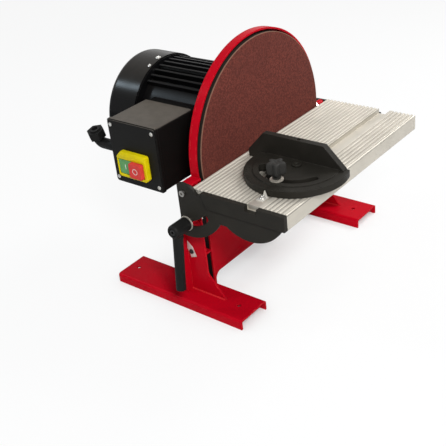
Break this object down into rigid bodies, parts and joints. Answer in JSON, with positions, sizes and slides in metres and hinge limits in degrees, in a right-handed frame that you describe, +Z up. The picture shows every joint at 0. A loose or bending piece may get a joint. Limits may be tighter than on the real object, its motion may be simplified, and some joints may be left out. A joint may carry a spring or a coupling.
{
  "type": "benchtop disc sander",
  "caption": "Benchtop disc sander with a guarded abrasive disc on a finned motor, a tilting ribbed table on trunnions, clamp levers and a sliding mitre gauge.",
  "frame": {"origin": "middle of the bounding box on the bench plane", "axes": "+Z up, -Y towards the operator who stands at the table, +X to that operator's right, motor towards +Y"},
  "size_m": [0.4554, 0.4434, 0.3875],
  "materials": {
    "red_paint": "semi-gloss red paint",
    "bright_steel": "bright plated steel",
    "dark_steel": "blackened steel",
    "motor_paint": "satin black paint",
    "black_sheet": "satin black paint",
    "core_steel": "bare laminations",
    "copper": "varnished wire",
    "yellow_plastic": "moulded yellow",
    "grey_plastic": "moulded dark grey",
    "green_plastic": "moulded green",
    "red_plastic": "moulded red",
    "black_plastic": "moulded black",
    "cast_aluminium": "machined casting",
    "abrasive": "coarse brown grit",
    "black_casting": "black coated casting"
  },
  "bodies": {
    "base": {"left_foot": "red_paint", "right_foot": "red_paint", "guard_panel": "red_paint", "guard_rim": "red_paint", "left_side_plate": "black_sheet", "right_side_plate": "black_sheet", "left_post": "red_paint", "right_post": "red_paint", "table_spacers": "red_paint", "post_nuts": "bright_steel", "pivot_bolts": "dark_steel", "angle_pointers": "bright_steel", "pointer_screws": "bright_steel", "dust_outlet": "red_paint", "front_bell": "motor_paint", "motor_body": "motor_paint", "rear_bell": "motor_paint", "fan_cover": "black_sheet", "fan_cover_screws": "bright_steel", "tie_rods": "bright_steel", "flange_bolts": "bright_steel", "front_bearing": "bright_steel", "rear_bearing": "bright_steel", "stator_core": "core_steel", "stator_winding": "copper", "switch_box": "black_sheet", "switch_cover": "black_sheet", "cover_screws": "bright_steel", "switch_frame": "yellow_plastic", "switch_body": "grey_plastic", "run_capacitor": "grey_plastic", "cable_gland": "black_plastic", "gland_nut": "black_plastic"},
    "rotor": {"motor_shaft": "bright_steel", "rotor_core": "core_steel", "cooling_fan": "grey_plastic", "disc_plate": "black_casting", "abrasive_disc": "abrasive", "disc_screw": "bright_steel"},
    "table": {"table_top": "cast_aluminium", "left_trunnion": "black_casting", "right_trunnion": "black_casting", "trunnion_screws": "bright_steel"},
    "left_clamp": {"left_lever": "black_plastic", "left_lever_stud": "bright_steel", "left_lever_washer": "bright_steel", "left_lever_screw": "dark_steel"},
    "right_clamp": {"right_lever": "black_plastic", "right_lever_stud": "bright_steel", "right_lever_washer": "bright_steel", "right_lever_screw": "dark_steel"},
    "mitre_bar": {"gauge_bar": "bright_steel", "gauge_pointer": "bright_steel", "gauge_screws": "bright_steel"},
    "mitre_head": {"gauge_head": "black_casting"},
    "mitre_knob": {"gauge_knob": "black_plastic", "gauge_knob_stud": "bright_steel", "gauge_washer": "bright_steel"},
    "start": {"start_button": "green_plastic"},
    "stop": {"stop_button": "red_plastic"}
  },
  "joints": [
    {"name": "disc_spin", "type": "hinge", "parent": "base", "child": "rotor", "pos_m": [0, -0.0319, 0.229], "axis": [0, 1, 0], "continuous": true},
    {"name": "table_tilt", "type": "hinge", "parent": "base", "child": "table", "pos_m": [0, -0.0202, 0.2034], "axis": [1, 0, 0], "range_deg": [0, 45]},
    {"name": "left_clamp_turn", "type": "hinge", "parent": "base", "child": "left_clamp", "pos_m": [-0.19, -0.0202, 0.153], "axis": [1, 0, 0], "range_deg": [-90, 90]},
    {"name": "right_clamp_turn", "type": "hinge", "parent": "base", "child": "right_clamp", "pos_m": [0.19, -0.0202, 0.153], "axis": [1, 0, 0], "range_deg": [-90, 90]},
    {"name": "mitre_slide", "type": "slide", "parent": "table", "child": "mitre_bar", "axis": [1, 0, 0], "range_m": [-0.06, 0.22]},
    {"name": "mitre_swing", "type": "hinge", "parent": "mitre_bar", "child": "mitre_head", "pos_m": [-0.075, -0.1447, 0.2142], "axis": [0, 0, 1], "range_deg": [-60, 60]},
    {"name": "mitre_knob_turn", "type": "hinge", "parent": "mitre_bar", "child": "mitre_knob", "pos_m": [-0.125, -0.1447, 0.226], "axis": [0, 0, 1], "continuous": true},
    {"name": "start_press", "type": "slide", "parent": "base", "child": "start", "axis": [1, 0, 0], "range_m": [0, 0.003], "stiffness_N_per_m": 600},
    {"name": "stop_press", "type": "slide", "parent": "base", "child": "stop", "axis": [1, 0, 0], "range_m": [0, 0.003], "stiffness_N_per_m": 600}
  ]
}
